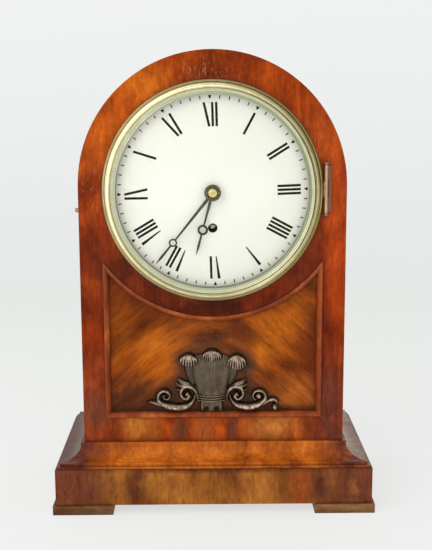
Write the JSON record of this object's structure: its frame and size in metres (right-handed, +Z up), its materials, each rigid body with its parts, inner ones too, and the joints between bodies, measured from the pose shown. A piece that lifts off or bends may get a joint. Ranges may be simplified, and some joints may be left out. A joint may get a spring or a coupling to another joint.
{
  "type": "bracket clock",
  "caption": "Arched wooden bracket clock with a domed painted dial behind a hinged round glass, sunk panel with applied crest, moulded plinth and pendulum movement.",
  "frame": {"origin": "centre of the footprint on the ground, at the bottom of the feet", "axes": "+Z up, +Y from the dial towards the back, +X to the right as seen facing the dial"},
  "size_m": [0.329, 0.1806, 0.466],
  "materials": {
    "mahogany": "polished",
    "panel_veneer": "polished",
    "pine": "plain",
    "brass": "lacquered",
    "silvered": "matt",
    "steel": "polished",
    "blued_steel": "blued",
    "dial_enamel": "satin",
    "bronze": "patinated",
    "glass": "clear"
  },
  "bodies": {
    "case": {"front_board": "mahogany", "case_sides": "mahogany", "arch_top": "mahogany", "back_frame": "mahogany", "plinth_front": "mahogany", "plinth_sides": "mahogany", "plinth_back": "pine", "bottom_board": "pine", "moulding_front": "mahogany", "moulding_sides": "mahogany", "feet": "mahogany", "front_panel": "panel_veneer", "panel_bead": "mahogany", "crest_mount": "bronze", "bezel_hinge": "brass", "button_bush": "brass", "dial_plate": "dial_enamel", "dial_feet": "steel", "movement_front_plate": "brass", "movement_back_plate": "brass", "movement_pillars": "brass", "seat_board": "pine", "seat_cheeks": "pine", "seat_bolts": "steel", "barrel_arbor": "steel", "motion_bridge": "brass", "minute_post": "steel", "back_cock": "brass", "movement_screws": "steel", "frame_hinges": "brass"},
    "bezel": {"bezel_ring": "brass", "sight_ring": "silvered", "bezel_glass": "glass", "bezel_tab": "brass", "bezel_fork": "brass"},
    "release_button": {"push_button": "brass"},
    "back_door": {"back_door": "mahogany", "back_door_pane": "glass", "door_hinge_leaves": "brass"},
    "door_turn": {"door_turn": "brass"},
    "minute_hand": {"minute_hand": "blued_steel", "hand_collet": "brass", "hand_pin": "steel", "cannon_wheel": "brass"},
    "minute_wheel": {"minute_wheel": "brass"},
    "hour_hand": {"hour_hand": "blued_steel", "hour_wheel": "brass"},
    "fusee": {"fusee": "brass", "fusee_arbor": "steel"},
    "barrel": {"barrel": "brass"},
    "centre_wheel": {"centre_wheel": "brass"},
    "third_wheel": {"third_wheel": "brass"},
    "escape_wheel": {"scape_wheel": "brass"},
    "pallets": {"anchor": "steel", "crutch": "steel"},
    "pendulum": {"suspension_spring": "steel", "pendulum_rod": "steel"},
    "pendulum_bob": {"pendulum_bob": "brass"},
    "rating_nut": {"rating_nut": "brass"}
  },
  "joints": [
    {"name": "bezel_hinge", "type": "hinge", "parent": "case", "child": "bezel", "pos_m": [0.1127, -0.06375, 0.3295], "axis": [0, 0, 1], "range_deg": [0, 115]},
    {"name": "button_slide", "type": "slide", "parent": "case", "child": "release_button", "axis": [1, 0, 0], "range_m": [0, 0.0025], "stiffness_N_per_m": 400, "springref_m": -0.001},
    {"name": "door_hinge", "type": "hinge", "parent": "case", "child": "back_door", "pos_m": [-0.0957, 0.08435, 0.25], "axis": [0, 0, 1], "range_deg": [0, 100]},
    {"name": "door_turn", "type": "hinge", "parent": "back_door", "child": "door_turn", "pos_m": [0.0885, 0.0772, 0.25], "axis": [0, 1, 0], "range_deg": [0, 90]},
    {"name": "minute_hand", "type": "hinge", "parent": "case", "child": "minute_hand", "pos_m": [0, -0.05975, 0.327], "axis": [0, 1, 0], "continuous": true},
    {"name": "minute_wheel", "type": "hinge", "parent": "case", "child": "minute_wheel", "pos_m": [0.02145, -0.04175, 0.327], "axis": [0, 1, 0], "continuous": true},
    {"name": "hour_hand", "type": "hinge", "parent": "case", "child": "hour_hand", "pos_m": [0, -0.05475, 0.327], "axis": [0, 1, 0], "continuous": true},
    {"name": "escape_wheel", "type": "hinge", "parent": "case", "child": "escape_wheel", "pos_m": [0, -0.02375, 0.368], "axis": [0, 1, 0], "continuous": true},
    {"name": "third_wheel", "type": "hinge", "parent": "case", "child": "third_wheel", "pos_m": [0.0104, -0.00975, 0.34976], "axis": [0, 1, 0], "continuous": true},
    {"name": "centre_wheel", "type": "hinge", "parent": "case", "child": "centre_wheel", "pos_m": [0, -0.02975, 0.327], "axis": [0, 1, 0], "continuous": true},
    {"name": "fusee", "type": "hinge", "parent": "case", "child": "fusee", "pos_m": [0, 0.00325, 0.29112], "axis": [0, 1, 0], "continuous": true},
    {"name": "barrel", "type": "hinge", "parent": "case", "child": "barrel", "pos_m": [-0.0476, -0.01675, 0.31862], "axis": [0, 1, 0], "continuous": true},
    {"name": "pendulum", "type": "hinge", "parent": "case", "child": "pendulum", "pos_m": [0, 0.03075, 0.39133], "axis": [0, 1, 0], "range_deg": [-3, 3]},
    {"name": "pallets", "type": "hinge", "parent": "case", "child": "pallets", "pos_m": [0, 0.02525, 0.39133], "axis": [0, 1, 0], "range_deg": [-3, 3]},
    {"name": "bob_slide", "type": "slide", "parent": "pendulum", "child": "pendulum_bob", "axis": [0, 0, 1], "range_m": [-0.003, 0.003]},
    {"name": "rating_nut", "type": "hinge", "parent": "pendulum_bob", "child": "rating_nut", "pos_m": [0, 0.03075, 0.1615], "axis": [0, 0, 1], "range_deg": [-1440, 1440]}
  ],
  "couplings": [
    {"joint": "minute_wheel", "follows": "minute_hand", "ratio": -1},
    {"joint": "hour_hand", "follows": "minute_hand", "ratio": 0.083333},
    {"joint": "third_wheel", "follows": "escape_wheel", "ratio": -0.090909},
    {"joint": "centre_wheel", "follows": "escape_wheel", "ratio": 0.0075758},
    {"joint": "fusee", "follows": "escape_wheel", "ratio": -0.00063131},
    {"joint": "barrel", "follows": "escape_wheel", "ratio": -0.00053662},
    {"joint": "pallets", "follows": "pendulum", "ratio": 1},
    {"joint": "rating_nut", "follows": "bob_slide", "rad_per_m": 7854}
  ]
}
